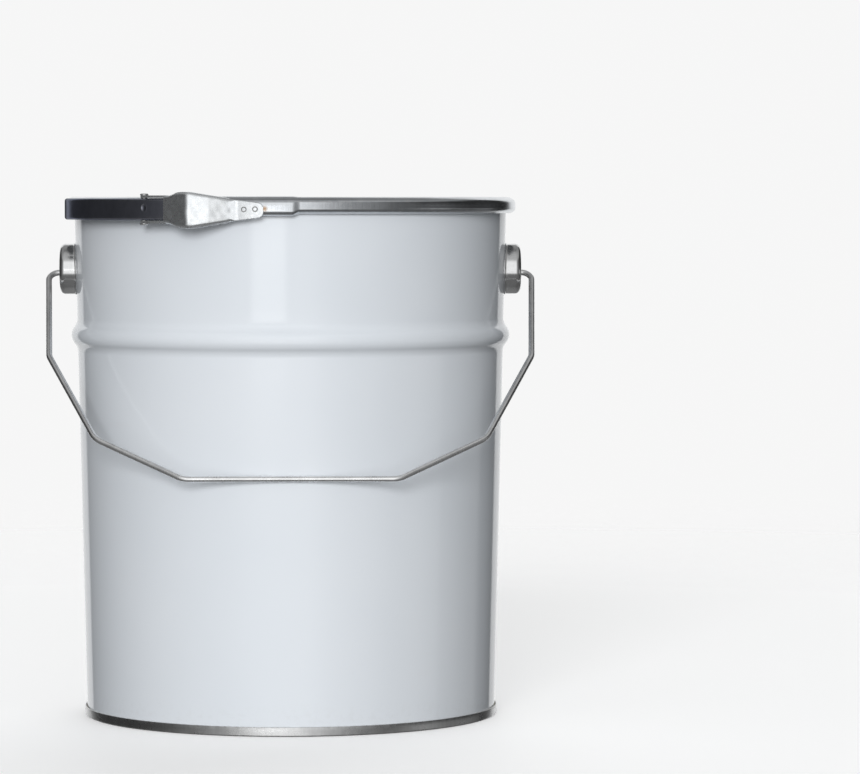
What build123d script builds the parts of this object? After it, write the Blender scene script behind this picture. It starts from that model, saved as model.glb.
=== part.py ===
from build123d import *
import math
import os

os.makedirs("parts", exist_ok=True)

# Steel paint pail, about 20 litres, with a lever locking ring and a wire handle.
# Millimetres. +Z is up, the origin is the centre of the base rim, z = 0 is the
# surface that it stands on. The front (lever latch and resting handle) faces -Y.

# ---------------------------------------------------------------- pail body
SHEET = 0.6                 # body, lid and bottom sheet
R_FOOT = 136.15             # wall outside radius just above the base seam
Z_FOOT = 1.6
R_BEAD_LOW, Z_BEAD_LOW = 141.66, 241.9
R_BEAD_CREST = 146.0
Z_BEAD_CREST = 253.2
R_BEAD_TOP, Z_BEAD_TOP = 142.05, 264.7
Z_CURL = 337.6              # centre of the outward curl at the mouth
R_NECK = 143.85             # wall outside radius at the curl
CURL_R = 2.2                # outside radius of the curl tube

# ---------------------------------------------------------------- base
SEAM_OUT_R = 137.55
SEAM_TOP = 6.2
FLOOR_Z = 7.0               # top of the recessed bottom panel

# ---------------------------------------------------------------- lid
LID_FLOOR = 329.0
LID_SKIRT_R = 148.8
LID_SKIRT_Z = 338.1
RIM_CORNER = (146.6, 340.0)     # centres of the rim's two top curves
RIM_CROWN = (143.58, 336.4)
RIM_CORNER_R, RIM_CROWN_R = 2.2, 6.9

# ---------------------------------------------------------------- locking ring
T_RING = 0.8
R_RING = 150.0
Z_RING0, Z_RING1 = 333.7, 345.0
EXPAND = 0.95               # the outer end is expanded by this much, and overlaps the inner end
R_RING_B = R_RING + EXPAND
DRAWN = 0.55                # the overlapped ends are drawn down by this much at the top
DRAWN_R = 0.1               # and the inner one in by this much
TOP_C1, TOP_R1 = (146.6, 340.5), 3.4      # upper shoulder: tight curve, then a flat crown
TOP_C2, TOP_R2 = (143.58, 336.9), 8.1
LOW_C1, LOW_R1 = (147.2, 337.5), 2.8      # lower shoulder
LOW_C2, LOW_R2 = (145.644, 339.056), 5.0
LOW_B_C, LOW_B_R = (147.65, 336.05), 3.3  # lower corner of the expanded end
END_A = 270.5               # angles from +X, anticlockwise from above, degrees
END_B = 249.5
JOGGLE = 271.6

# ---------------------------------------------------------------- latch
R_PIN = 153.6
AZ_P1, AZ_P2 = 24.2, 37.45  # angles left of the front, degrees
PIN_D = 4.0
RUN = 0.08                  # radial running clearance on the pins
LEVER_Z0, LEVER_Z1 = 330.0, 344.0
LEVER_T = 1.0
LEVER_C = (0.0, -8.1)       # centre of the lever's curve
LEVER_R = 150.8
LEVER_IN_R = 150.4
AZ_TAIL = 76.6
AZ_WEB = 25.5
EAR_Z0, EAR_Z1 = 328.1, 345.9   # outside faces of the bracket's two side plates
EAR_T = 1.5
DOME_Z = 336.3
LEVER_OPEN_DEG = 140.0

# ---------------------------------------------------------------- handle
WIRE_D = 4.0
BAIL_Z = 294.5
BAIL_REACH = 192.0
EAR_CUP_Z = 297.0
EAR_CUP_R = 16.8
EAR_FLANGE_R = 17.3
EAR_FACE_X = 153.5
EAR_T_CUP = 1.0


def face(start, *segs):
    """Closed face in the r-z half plane: a segment is a point, or a pair (mid, end) for an arc."""
    edges = []
    p = start
    for s in segs:
        if isinstance(s[0], tuple):
            edges.append(ThreePointArc(p, s[0], s[1]))
            p = s[1]
        else:
            edges.append(Line(p, s))
            p = s
    if (abs(p[0] - start[0]) + abs(p[1] - start[1])) > 1e-7:
        edges.append(Line(p, start))
    return Plane.XZ * make_face(Curve() + edges)


def lathe(f, start=0.0, arc=360.0):
    s = revolve(f, Axis.Z, revolution_arc=arc)
    return Rot(0, 0, start) * s


def on(c, r, deg):
    return (c[0] + r * math.cos(math.radians(deg)), c[1] + r * math.sin(math.radians(deg)))


def az(r, a):
    """Point in plan at radius r, a degrees left of the front."""
    t = math.radians(a)
    return (-r * math.sin(t), -r * math.cos(t))


def write(shape, name):
    shape.label = name
    export_step(shape, f"parts/{name}.step")


# ================================================================ body shell
def bead_arcs(off):
    """The rolled bead, bottom to top, at a distance off inside the outside surface."""
    h1, h2 = R_BEAD_CREST - R_BEAD_LOW, R_BEAD_CREST - R_BEAD_TOP
    w1, w2 = Z_BEAD_CREST - Z_BEAD_LOW, Z_BEAD_TOP - Z_BEAD_CREST
    t1, t2 = 2 * math.atan(h1 / w1), 2 * math.atan(h2 / w2)
    r1, r2 = w1 / (2 * math.sin(t1)), w2 / (2 * math.sin(t2))
    d1, d2 = math.degrees(t1), math.degrees(t2)
    c1 = (R_BEAD_LOW + r1, Z_BEAD_LOW)
    k1 = (R_BEAD_CREST - r1, Z_BEAD_CREST)
    k2 = (R_BEAD_CREST - r2, Z_BEAD_CREST)
    c2 = (R_BEAD_TOP + r2, Z_BEAD_TOP)
    return [
        on(c1, r1 + off, 180),
        (on(c1, r1 + off, 180 - d1 / 2), on(c1, r1 + off, 180 - d1)),
        (on(k1, r1 - off, -d1 / 2), on(k1, r1 - off, 0)),
        (on(k2, r2 - off, d2 / 2), on(k2, r2 - off, d2)),
        (on(c2, r2 + off, 180 + d2 / 2), on(c2, r2 + off, 180)),
    ]


def reverse(start, segs):
    """The same path walked backwards: returns (start, segments)."""
    pts = [start] + [s[1] if isinstance(s[0], tuple) else s for s in segs]
    out = []
    for i in range(len(segs) - 1, -1, -1):
        s = segs[i]
        out.append((s[0], pts[i]) if isinstance(s[0], tuple) else pts[i])
    return pts[-1], out


curl_c = (R_NECK - SHEET + CURL_R, Z_CURL)
ob = bead_arcs(0.0)
ib = bead_arcs(SHEET)
istart, irev = reverse(ib[0], ib[1:])
body_shell = lathe(
    face(
        (R_FOOT, Z_FOOT),
        ob[0],
        *ob[1:],
        (R_NECK, Z_CURL),
        (on(curl_c, CURL_R - SHEET, 32.5), on(curl_c, CURL_R - SHEET, -115)),
        on(curl_c, CURL_R, -115),
        (on(curl_c, CURL_R, 32.5), on(curl_c, CURL_R, 180)),
        istart,
        *irev,
        (R_FOOT - SHEET, Z_FOOT),
    )
)
write(body_shell, "body_shell")

# ================================================================ bottom end and its seam
bottom_end = lathe(
    face(
        (0, FLOOR_Z - SHEET),
        (96.0, FLOOR_Z - SHEET),
        (99.0, FLOOR_Z - SHEET - 1.6),
        (107.0, FLOOR_Z - SHEET - 1.6),
        (110.0, FLOOR_Z - SHEET),
        (133.3, FLOOR_Z - SHEET),
        (on((133.3, FLOOR_Z - SHEET - 1.5), 1.5, 45), on((133.3, FLOOR_Z - SHEET - 1.5), 1.5, 0)),
        (134.8, 0.9),
        (on((135.7, 0.9), 0.9, 225), (135.7, 0.0)),
        (136.65, 0.0),
        (on((136.65, 0.9), 0.9, -45), (SEAM_OUT_R, 0.9)),
        (SEAM_OUT_R, SEAM_TOP),
        (SEAM_OUT_R - SHEET, SEAM_TOP),
        (SEAM_OUT_R - SHEET, 0.6),
        (135.4, 0.6),
        (135.4, FLOOR_Z - 2.1),
        (on((133.3, FLOOR_Z - 2.1), 2.1, 45), (133.3, FLOOR_Z)),
        (110.0, FLOOR_Z),
        (107.0, FLOOR_Z - 1.6),
        (99.0, FLOOR_Z - 1.6),
        (96.0, FLOOR_Z),
        (0, FLOOR_Z),
    )
)
write(bottom_end, "bottom_end")

seam_compound = lathe(
    face(
        (135.5, 0.65), (136.9, 0.65), (136.9, 5.6), (136.35, 5.6), (136.25, 1.5), (135.5, 1.5)
    )
)
write(seam_compound, "bottom_seam_compound")

# ================================================================ handle ear cups
def cone_solid(extra, z0=264.0, z1=332.0):
    s = (R_NECK - R_BEAD_TOP) / (Z_CURL - Z_BEAD_TOP)
    r = lambda z: R_BEAD_TOP + s * (z - Z_BEAD_TOP) + extra
    return lathe(face((0, z0), (r(z0), z0), (r(z1), z1), (0, z1)))


def x_cyl(radius, x0, x1, z):
    return Pos(x0, 0, z) * Rot(0, 90, 0) * Cylinder(radius, x1 - x0, align=(Align.CENTER, Align.CENTER, Align.MIN))


cup_out = x_cyl(EAR_CUP_R, 130.0, EAR_FACE_X, EAR_CUP_Z)
cup_out = fillet(cup_out.edges().filter_by(GeomType.CIRCLE).sort_by(Axis.X)[-1], 3.6)
cup_in = x_cyl(EAR_CUP_R - EAR_T_CUP, 129.0, EAR_FACE_X - EAR_T_CUP, EAR_CUP_Z)
cup_in = fillet(cup_in.edges().filter_by(GeomType.CIRCLE).sort_by(Axis.X)[-1], 2.6)
flange = x_cyl(EAR_FLANGE_R, 135.0, 150.0, EAR_CUP_Z) & cone_solid(0.95)
ear_right = (cup_out + flange) - cup_in - cone_solid(0.02)
ear_right = ear_right - x_cyl(WIRE_D / 2 + 0.1, 140.0, 160.0, BAIL_Z)
ear_right = max(ear_right.solids(), key=lambda s: s.volume)
write(ear_right, "ear_right")
ear_left = mirror(ear_right, Plane.YZ)
write(ear_left, "ear_left")

# ================================================================ wire handle
wall_at = lambda z: R_FOOT + (R_BEAD_LOW - R_FOOT) * (z - Z_FOOT) / (Z_BEAD_LOW - Z_FOOT)
gap = WIRE_D / 2 + 0.3
swing = math.asin((wall_at(165.0) + gap) / BAIL_REACH)
swing = math.asin((wall_at(BAIL_Z - BAIL_REACH * math.cos(swing)) + gap) / BAIL_REACH)
print("handle rests %.3f degrees forward of straight down" % math.degrees(swing))
BAIL_PTS = [(161.0, 0.0), (157.8, 80.0), (125.7, 155.5), (68.7, BAIL_REACH)]
BAIL_RADII = [7.0, 12.0, 14.0, 14.0]
HEAD_X0, HEAD_X1 = 150.6, 152.2
half = [(HEAD_X1 - 0.4, 0.0)] + BAIL_PTS
pts = half + [(-u, r) for u, r in reversed(half)]
radii = [None] + BAIL_RADII + list(reversed(BAIL_RADII)) + [None]


def world(u, r):
    return Vector(u, -r * math.sin(swing), BAIL_Z - r * math.cos(swing))


edges = []
last = world(*pts[0])
for i in range(1, len(pts) - 1):
    a, b, c = world(*pts[i - 1]), world(*pts[i]), world(*pts[i + 1])
    d0, d1 = (b - a).normalized(), (c - b).normalized()
    turn = math.acos(max(-1, min(1, d0.dot(d1))))
    t = radii[i] * math.tan(turn / 2)
    p0, p1 = b - d0 * t, b + d1 * t
    bis = (d1 - d0).normalized()
    ctr = b + bis * (radii[i] / math.cos(turn / 2))
    mid = ctr - bis * radii[i]
    edges.append(Line(last, p0))
    edges.append(ThreePointArc(p0, mid, p1))
    last = p1
edges.append(Line(last, world(*pts[-1])))
path = Wire(edges)
print("handle wire length %.1f" % path.length)
bail = sweep(Plane(origin=world(*pts[0]), z_dir=(1, 0, 0)) * Circle(WIRE_D / 2), path=path)
head = x_cyl(3.75, HEAD_X0, HEAD_X1, BAIL_Z)
head = fillet(head.edges().filter_by(GeomType.CIRCLE), 0.4)
bail = bail + head + mirror(head, Plane.YZ)
bail = max(bail.solids(), key=lambda s: s.volume)
write(bail, "bail_wire")

# ================================================================ lid and gasket
lf = LID_FLOOR
k1, k2 = RIM_CORNER, RIM_CROWN


def rim(off):
    """The rim from the inner corner of its crown out and down to the skirt, at a distance off inside."""
    a, b = RIM_CROWN_R - off, RIM_CORNER_R - off
    return [
        (k2[0], k2[1] + a),
        (on(k2, a, 70), on(k2, a, 50)),
        (on(k1, b, 25), on(k1, b, 0)),
    ]


r_out = rim(0.0)
r_in = rim(SHEET)
_, r_in_rev = reverse(r_in[0], r_in[1:])
lid_panel = lathe(
    face(
        (0, lf),
        (98.0, lf),
        (102.0, lf + 2.0),
        (112.0, lf + 2.0),
        (116.0, lf),
        (139.5, lf),
        (on((139.5, lf + 1.3), 1.3, -45), (140.8, lf + 1.3)),
        (141.75, k2[1] + RIM_CROWN_R - 1.9),
        (on((143.65, k2[1] + RIM_CROWN_R - 1.9), 1.9, 135), r_out[0]),
        *r_out[1:],
        (LID_SKIRT_R, LID_SKIRT_Z),
        (LID_SKIRT_R - SHEET, LID_SKIRT_Z),
        (LID_SKIRT_R - SHEET, k1[1]),
        *r_in_rev,
        (on((143.65, k2[1] + RIM_CROWN_R - 1.9), 1.3, 135), (142.35, k2[1] + RIM_CROWN_R - 1.9)),
        (141.4, lf + 1.3),
        (on((139.5, lf + 1.3), 1.9, -45), (139.5, lf - SHEET)),
        (116.0, lf - SHEET),
        (112.0, lf - SHEET + 2.0),
        (102.0, lf - SHEET + 2.0),
        (98.0, lf - SHEET),
        (0, lf - SHEET),
    )
)
write(lid_panel, "lid_panel")

g = RIM_CROWN_R - SHEET - 0.04
lid_gasket = lathe(
    face(
        (143.9, 341.2), (on((144.7, 341.2), 0.8, 225), (144.7, 340.4)), (146.6, 340.4),
        (on((146.6, 341.0), 0.6, -45), (147.2, 341.0)), on(k2, g, 53),
        (on(k2, g, 70), on(k2, g, 87)),
    )
)
write(lid_gasket, "lid_gasket")

# ================================================================ locking ring band
def band_path(dr, dzt, off, flat_low=False):
    """The band's C section from its upper lip to its lower lip, at a distance off inside the outer face."""
    c1, c2 = (TOP_C1[0], TOP_C1[1] + dzt), (TOP_C2[0], TOP_C2[1] + dzt)
    a, b = TOP_R2 + dr - off, TOP_R1 + dr - off
    path = [
        on(c2, a, 90),
        (on(c2, a, 70), on(c2, a, 50)),
        (on(c1, b, 25), on(c1, b, 0)),
    ]
    if flat_low:
        r = LOW_B_R - off
        path += [on(LOW_B_C, r, 0), (on(LOW_B_C, r, -45), on(LOW_B_C, r, -90)), (145.4, LOW_B_C[1] - r)]
    else:
        a, b = LOW_R1 + dr - off, LOW_R2 + dr - off
        path += [
            on(LOW_C1, a, 0),
            (on(LOW_C1, a, -22.5), on(LOW_C1, a, -45)),
            (on(LOW_C2, b, -62), on(LOW_C2, b, -80)),
        ]
    return path


def ring_face(outer, inner):
    start, back = reverse(inner[0], inner[1:])
    return face(outer[0], *outer[1:], start, *back)


NORMAL_O, NORMAL_I = band_path(0, 0, 0), band_path(0, 0, T_RING)
DRAWN_O, DRAWN_I = band_path(-DRAWN_R, -DRAWN, 0), band_path(-DRAWN_R, -DRAWN, T_RING)
WIDE_O, WIDE_I = band_path(EXPAND, -DRAWN, 0, True), band_path(EXPAND, -DRAWN, T_RING, True)

P1 = az(R_PIN, AZ_P1)
P2 = az(R_PIN, AZ_P2)


def rot2(p, c, deg):
    t = math.radians(deg)
    x, y = p[0] - c[0], p[1] - c[1]
    return (c[0] + x * math.cos(t) - y * math.sin(t), c[1] + x * math.sin(t) + y * math.cos(t))


# The band flexes open about a point on its right side: the point and the angle that carry the
# outer pin from its closed place to its open place exactly.
P2_OPEN = rot2(P2, P1, LEVER_OPEN_DEG)
mx, my = (P2[0] + P2_OPEN[0]) / 2, (P2[1] + P2_OPEN[1]) / 2
dx, dy = P2_OPEN[0] - P2[0], P2_OPEN[1] - P2[1]
lo, hi = 8.0, 20.0
for _ in range(80):
    b = (lo + hi) / 2
    k = 1 / (2 * math.tan(math.radians(b) / 2))
    c = (mx - dy * k, my + dx * k)
    if math.hypot(*c) > R_RING - T_RING / 2:
        lo = b
    else:
        hi = b
FLEX_DEG, FLEX = b, c
FLEX_ANG = math.degrees(math.atan2(c[1], c[0]))
print("P1 %.6f %.6f  P2 %.6f %.6f" % (P1 + P2))
print("flex centre %.6f %.6f at %.4f deg, spread %.6f deg" % (c[0], c[1], FLEX_ANG, b))

normal = ring_face(NORMAL_O, NORMAL_I)
HALF_CUT = 0.07
OVER = 250.0 - 1.6          # the drawn-in end starts here
band_a = lathe(normal, FLEX_ANG + HALF_CUT, OVER - (FLEX_ANG + HALF_CUT))
step_a = lathe(ring_face(NORMAL_O, DRAWN_I), OVER - 0.05, 0.5)
end_a = lathe(ring_face(DRAWN_O, DRAWN_I), OVER + 0.4, END_A - OVER - 0.4)
ring_band_main = band_a + step_a + end_a
ring_band_main = max(ring_band_main.solids(), key=lambda s: s.volume)
write(ring_band_main, "ring_band_main")

end_b = lathe(ring_face(WIDE_O, WIDE_I), END_B, JOGGLE - END_B)
step_b = lathe(ring_face(WIDE_O, NORMAL_I), JOGGLE - 0.05, 0.5)
band_b = lathe(normal, JOGGLE + 0.4, 360 + FLEX_ANG - HALF_CUT - (JOGGLE + 0.4))
ring_band_free = end_b + step_b + band_b
ring_band_free = max(ring_band_free.solids(), key=lambda s: s.volume)
write(ring_band_free, "ring_band_free")

# ================================================================ hinge lug on the band's inner end
LUG_Z0, LUG_Z1 = 334.8, 342.4
LUG_T = 1.2
EYE_R = 3.1


def prism(sketch, z0, z1):
    return extrude(Pos(0, 0, z0) * sketch, amount=z1 - z0)


def ring_sector(r_in, r_out, a0, a1):
    """Plan area between two radii and two angles left of the front (a0 < a1)."""
    m = (a0 + a1) / 2
    return make_face(
        Curve()
        + [
            ThreePointArc(az(r_out, a0), az(r_out, m), az(r_out, a1)),
            Line(az(r_out, a1), az(r_in, a1)),
            ThreePointArc(az(r_in, a1), az(r_in, m), az(r_in, a0)),
            Line(az(r_in, a0), az(r_out, a0)),
        ]
    )


lug = ring_sector(R_RING, R_RING + LUG_T, AZ_P1 - 0.2, 31.5) + Pos(*P1) * Circle(EYE_R)
lug = lug + ring_sector(R_RING, R_PIN, AZ_P1 - 0.75, AZ_P1 + 0.35)
hinge_lug = prism(lug, LUG_Z0, LUG_Z1)
hinge_lug = hinge_lug - Pos(P1[0], P1[1], 337) * Cylinder(PIN_D / 2 + 0.02, 30)
hinge_lug = hinge_lug - lathe(face((140, 330), (R_RING, 330), (R_RING, 350), (140, 350)), 230, 40)
weld_at = [27.6, 29.9]
weld_z = 339.3


def radial_plug(r0, r1, a, z, radius):
    """A short plug standing on the band, axis along the radius."""
    c = az(1.0, a)
    pl = Plane(origin=(c[0] * r0, c[1] * r0, z), z_dir=(c[0], c[1], 0))
    return extrude(pl * Circle(radius), amount=r1 - r0)


lug_welds = []
for a in weld_at:
    hinge_lug = hinge_lug - radial_plug(R_RING - 2, R_RING + 4, a, weld_z, 1.5)
    w = radial_plug(R_RING - 1, R_RING + LUG_T - 0.25, a, weld_z, 1.48)
    w = w - lathe(face((140, 330), (R_RING, 330), (R_RING, 350), (140, 350)), 230, 40)
    lug_welds.append(w.solids()[0])
hinge_lug = max(hinge_lug.solids(), key=lambda s: s.volume)
write(hinge_lug, "hinge_lug")
write(Compound(children=lug_welds), "lug_spot_welds")


# ================================================================ rivets
def rivet(p, z0, z1, head_r=3.3, head_h=1.2):
    """Shank between two domed heads; z0 and z1 are the undersides of the heads."""
    f = face(
        (0, z0 - head_h), (head_r - 0.9, z0 - head_h),
        (on((head_r - 0.9, z0 - head_h + 0.9), 0.9, -45), (head_r, z0 - head_h + 0.9)), (head_r, z0),
        (PIN_D / 2, z0), (PIN_D / 2, z1), (head_r, z1), (head_r, z1 + head_h - 0.9),
        (on((head_r - 0.9, z1 + head_h - 0.9), 0.9, 45), (head_r - 0.9, z1 + head_h)), (0, z1 + head_h),
    )
    return Pos(p[0], p[1], 0) * lathe(f)


lever_pivot_rivet = rivet(P1, LEVER_Z0 - 0.2, LEVER_Z1 + 0.2, 3.1, 1.0)
write(lever_pivot_rivet, "lever_pivot_rivet")
link_rivet = rivet(P2, EAR_Z0 - 0.02, EAR_Z1 + 0.02, 2.7)
write(link_rivet, "link_rivet")

# ================================================================ lever
def lever_area(r_in, r_out, a0, a1):
    """Plan area from the band side (centred on the pail) to the lever's own curve."""
    def onl(r, a):
        # point at angle a (seen from the pail's centre) on a circle of radius r about LEVER_C
        d = az(1.0, a)
        b = d[0] * LEVER_C[0] + d[1] * LEVER_C[1]
        cc = LEVER_C[0] ** 2 + LEVER_C[1] ** 2 - r * r
        t = b + math.sqrt(b * b - cc)
        return (d[0] * t, d[1] * t)

    m = (a0 + a1) / 2
    if r_in is None:
        inner = lambda a: onl(r_out - LEVER_T, a)
    else:
        inner = lambda a: az(r_in, a)
    return make_face(
        Curve()
        + [
            ThreePointArc(onl(r_out, a0), onl(r_out, m), onl(r_out, a1)),
            Line(onl(r_out, a1), inner(a1)),
            ThreePointArc(inner(a1), inner(m), inner(a0)),
            Line(inner(a0), onl(r_out, a0)),
        ]
    )


plate = lever_area(LEVER_IN_R, LEVER_R, AZ_P1, AZ_TAIL) + Pos(*P1) * Circle(3.6)
plate = plate - Pos(*P1) * Circle(PIN_D / 2 + RUN) - Pos(*P2) * Circle(PIN_D / 2 + RUN)
lever = (
    prism(plate, LEVER_Z0, LEVER_Z0 + LEVER_T)
    + prism(plate, LEVER_Z1 - LEVER_T, LEVER_Z1)
    + prism(lever_area(None, LEVER_R, AZ_WEB, AZ_TAIL), LEVER_Z0, LEVER_Z1)
)
print("lever solids", len(lever.solids()))
lever = max(lever.solids(), key=lambda s: s.volume)
write(lever, "closure_lever")

# ================================================================ bracket (over-centre link)
A_CREASE = (-66.1, -150.3)
B_NECK = (-80.0, -138.3)
C_FLAT = (-40.0, -150.3)
T_FOOT = az(R_RING_B + 0.02 + 1.2, 13.0)
T_BR = 1.2
clear_r = R_RING_B + 0.4


def offs(p, q, d):
    """Line p-q moved d towards the pail's centre: returns the two moved points."""
    nx, ny = -(q[1] - p[1]), q[0] - p[0]
    n = math.hypot(nx, ny)
    nx, ny = nx / n, ny / n
    if (nx * -p[0] + ny * -p[1]) < 0:
        nx, ny = -nx, -ny
    return (p[0] + nx * d, p[1] + ny * d), (q[0] + nx * d, q[1] + ny * d)


def meet(a, b, c, d):
    x1, y1, x2, y2, x3, y3, x4, y4 = *a, *b, *c, *d
    den = (x1 - x2) * (y3 - y4) - (y1 - y2) * (x3 - x4)
    t = ((x1 - x3) * (y3 - y4) - (y1 - y3) * (x3 - x4)) / den
    return (x1 + t * (x2 - x1), y1 + t * (y2 - y1))


l1 = offs(B_NECK, A_CREASE, T_BR)
l2 = offs(A_CREASE, C_FLAT, T_BR)
l3 = offs(C_FLAT, T_FOOT, T_BR)
a_in = meet(*l1, *l2)
c_in = meet(*l2, *l3)
neck_ang = math.degrees(math.atan2(-B_NECK[0], -B_NECK[1]))
outer_plan = make_face(
    Polyline(
        B_NECK, A_CREASE, C_FLAT, T_FOOT, az(148.5, 13.4), az(148.5, 20.0), az(148.5, 26.0),
        az(148.5, neck_ang), close=True,
    )
)
ext = (2 * l1[0][0] - l1[1][0], 2 * l1[0][1] - l1[1][1])
inner_plan = make_face(
    Polyline(ext, a_in, c_in, l3[1], az(140.0, 14.2), az(140.0, 40.0), close=True)
)


HALF = [(-81.0, 8.9), (-77.5, 9.2), (-73.5, 11.3), (-70.0, 11.7), (-63.0, 11.7), (-40.5, 8.2), (-36.5, 7.0), (-32.0, 6.5)]


def outline(d, ends=0.0):
    up = [(x, DOME_Z + 0.7 * max(0.0, (-60 - x) / 21.0) + h - d) for x, h in HALF]
    dn = [(x, DOME_Z + 0.7 * max(0.0, (-60 - x) / 21.0) - h + d) for x, h in HALF]
    if ends:
        up[0], dn[0] = (up[0][0] - ends, up[0][1]), (dn[0][0] - ends, dn[0][1])
    return up + dn[::-1]


def slab(points):
    f = Plane.XZ * make_face(Polyline(*points, close=True))
    return extrude(f, amount=175.0)      # from y = 0 towards -Y


dome = prism(outer_plan, 300, 370) & slab(outline(0.0))
hollow = prism(inner_plan, 300, 370) & slab(outline(T_BR, 8.0))
dome = dome - hollow
# clear of the band and of the lever's flanges
dome = dome - lathe(face((130, 300), (clear_r, 300), (clear_r, 370), (130, 370)), 225, 44)

# side plates that carry the outer pin, joined to the neck of the dome
ear_plan = ring_sector(150.0, R_PIN + 4.4, 27.5, AZ_P2) + Pos(*P2) * Circle(4.4)
ear_plan = ear_plan & make_face(
    Polyline(az(149.9, 26.0), az(149.9, 32.0), az(149.9, 40.0), az(162.0, 40.0), (-96.0, -132.0), B_NECK, A_CREASE, close=True)
)
ear_plan = ear_plan + ring_sector(R_PIN, R_PIN + 4.4, AZ_P2 - 3.0, AZ_P2)
ear_plan = ear_plan - Pos(*P2) * Circle(PIN_D / 2 + 0.02)
ears = prism(ear_plan, EAR_Z0, EAR_Z0 + EAR_T) + prism(ear_plan, EAR_Z1 - EAR_T, EAR_Z1)

# tongue: follows the band, tapers to a rounded tip
TONGUE = [(-37.0, 6.8), (-30.0, 6.2), (-20.5, 4.9)]
TZ = 336.4
up = [(x, TZ + h) for x, h in TONGUE]
dn = [(x, TZ - h) for x, h in TONGUE]
tongue_face = make_face(
    Curve()
    + [
        Line(up[0], up[1]), Line(up[1], up[2]),
        ThreePointArc(up[2], (-18.2, TZ + 3.4), (-17.4, TZ + 2.2)),
        Line((-17.4, TZ + 2.2), (-17.4, TZ - 2.2)),
        ThreePointArc((-17.4, TZ - 2.2), (-18.2, TZ - 3.4), dn[2]),
        Line(dn[2], dn[1]), Line(dn[1], dn[0]), Line(dn[0], up[0]),
    ]
)
tongue_slab = extrude(Plane.XZ * tongue_face, amount=175.0)
tr0 = R_RING_B + 0.02
tongue = lathe(face((tr0, 320), (tr0 + T_BR, 320), (tr0 + T_BR, 350), (tr0, 350)), 250, 25) & tongue_slab
bracket = dome + ears + tongue
print("bracket solids", [round(s.volume, 1) for s in bracket.solids()])
bracket = max(bracket.solids(), key=lambda s: s.volume)
spots = [(-29.6, 337.0), (-22.5, 337.2)]
plugs = []
for x, z in spots:
    a = math.degrees(math.asin(-x / tr0))
    bracket = bracket - radial_plug(tr0 - 2, tr0 + 5, a, z, 1.8)
    p = radial_plug(tr0 - 1, tr0 + T_BR - 0.3, a, z, 1.78)
    p = p - lathe(face((130, 320), (tr0, 320), (tr0, 350), (130, 350)), 250, 25)
    plugs.append(p.solids()[0])
bracket = max(bracket.solids(), key=lambda s: s.volume)
write(bracket, "closure_bracket")
write(Compound(children=plugs), "bracket_spot_welds")
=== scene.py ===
import math

import bmesh
import bpy
import numpy as np
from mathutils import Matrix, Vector
from mathutils.geometry import tessellate_polygon


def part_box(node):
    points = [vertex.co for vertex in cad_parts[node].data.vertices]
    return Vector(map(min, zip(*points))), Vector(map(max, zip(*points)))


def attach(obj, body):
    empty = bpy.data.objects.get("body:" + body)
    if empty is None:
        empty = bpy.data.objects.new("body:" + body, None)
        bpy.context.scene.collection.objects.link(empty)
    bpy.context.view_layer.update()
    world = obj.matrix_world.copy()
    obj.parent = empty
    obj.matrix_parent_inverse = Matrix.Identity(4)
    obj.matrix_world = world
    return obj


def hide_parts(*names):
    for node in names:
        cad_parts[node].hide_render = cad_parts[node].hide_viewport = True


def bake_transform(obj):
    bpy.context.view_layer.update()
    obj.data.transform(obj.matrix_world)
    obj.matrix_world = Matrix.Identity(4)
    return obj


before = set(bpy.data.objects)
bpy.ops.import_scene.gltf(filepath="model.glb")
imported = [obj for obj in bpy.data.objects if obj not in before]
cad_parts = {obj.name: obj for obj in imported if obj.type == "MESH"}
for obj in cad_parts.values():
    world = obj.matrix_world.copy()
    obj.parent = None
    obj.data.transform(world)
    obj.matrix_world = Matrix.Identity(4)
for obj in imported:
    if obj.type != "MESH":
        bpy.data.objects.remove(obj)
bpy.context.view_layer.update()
MM = 0.001
RNG = np.random.RandomState(7)

# ---------------------------------------------------------------- places, from the CAD frame (mm)
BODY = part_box("body_shell")
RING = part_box("ring_band_main")
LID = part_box("lid_panel")
PIN2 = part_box("link_rivet")
PIN1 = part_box("lever_pivot_rivet")
P1 = ((PIN1[0].x + PIN1[1].x) / 2 / MM, (PIN1[0].y + PIN1[1].y) / 2 / MM)
P2 = ((PIN2[0].x + PIN2[1].x) / 2 / MM, (PIN2[0].y + PIN2[1].y) / 2 / MM)
TOP_Z = RING[1].z / MM            # ring top, 345
SHEET = 0.6


def rad(a):
    return math.radians(a)


def on(c, r, a):
    return (c[0] + r * math.cos(rad(a)), c[1] + r * math.sin(rad(a)))


def arc(c, r, a0, a1, step=7.0):
    n = max(2, int(math.ceil(abs(a1 - a0) / step)) + 1)
    return [on(c, r, a) for a in np.linspace(a0, a1, n)]


def arc_n(c, r, a0, a1, n):
    return [on(c, r, a) for a in np.linspace(a0, a1, n)]


def line(p, q, n):
    return [(p[0] + (q[0] - p[0]) * t, p[1] + (q[1] - p[1]) * t) for t in np.linspace(0, 1, n)]


def az(r, a):
    t = rad(a)
    return (-r * math.sin(t), -r * math.cos(t))


def smooth(t):
    t = min(1.0, max(0.0, t))
    return t * t * (3 - 2 * t)


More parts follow.
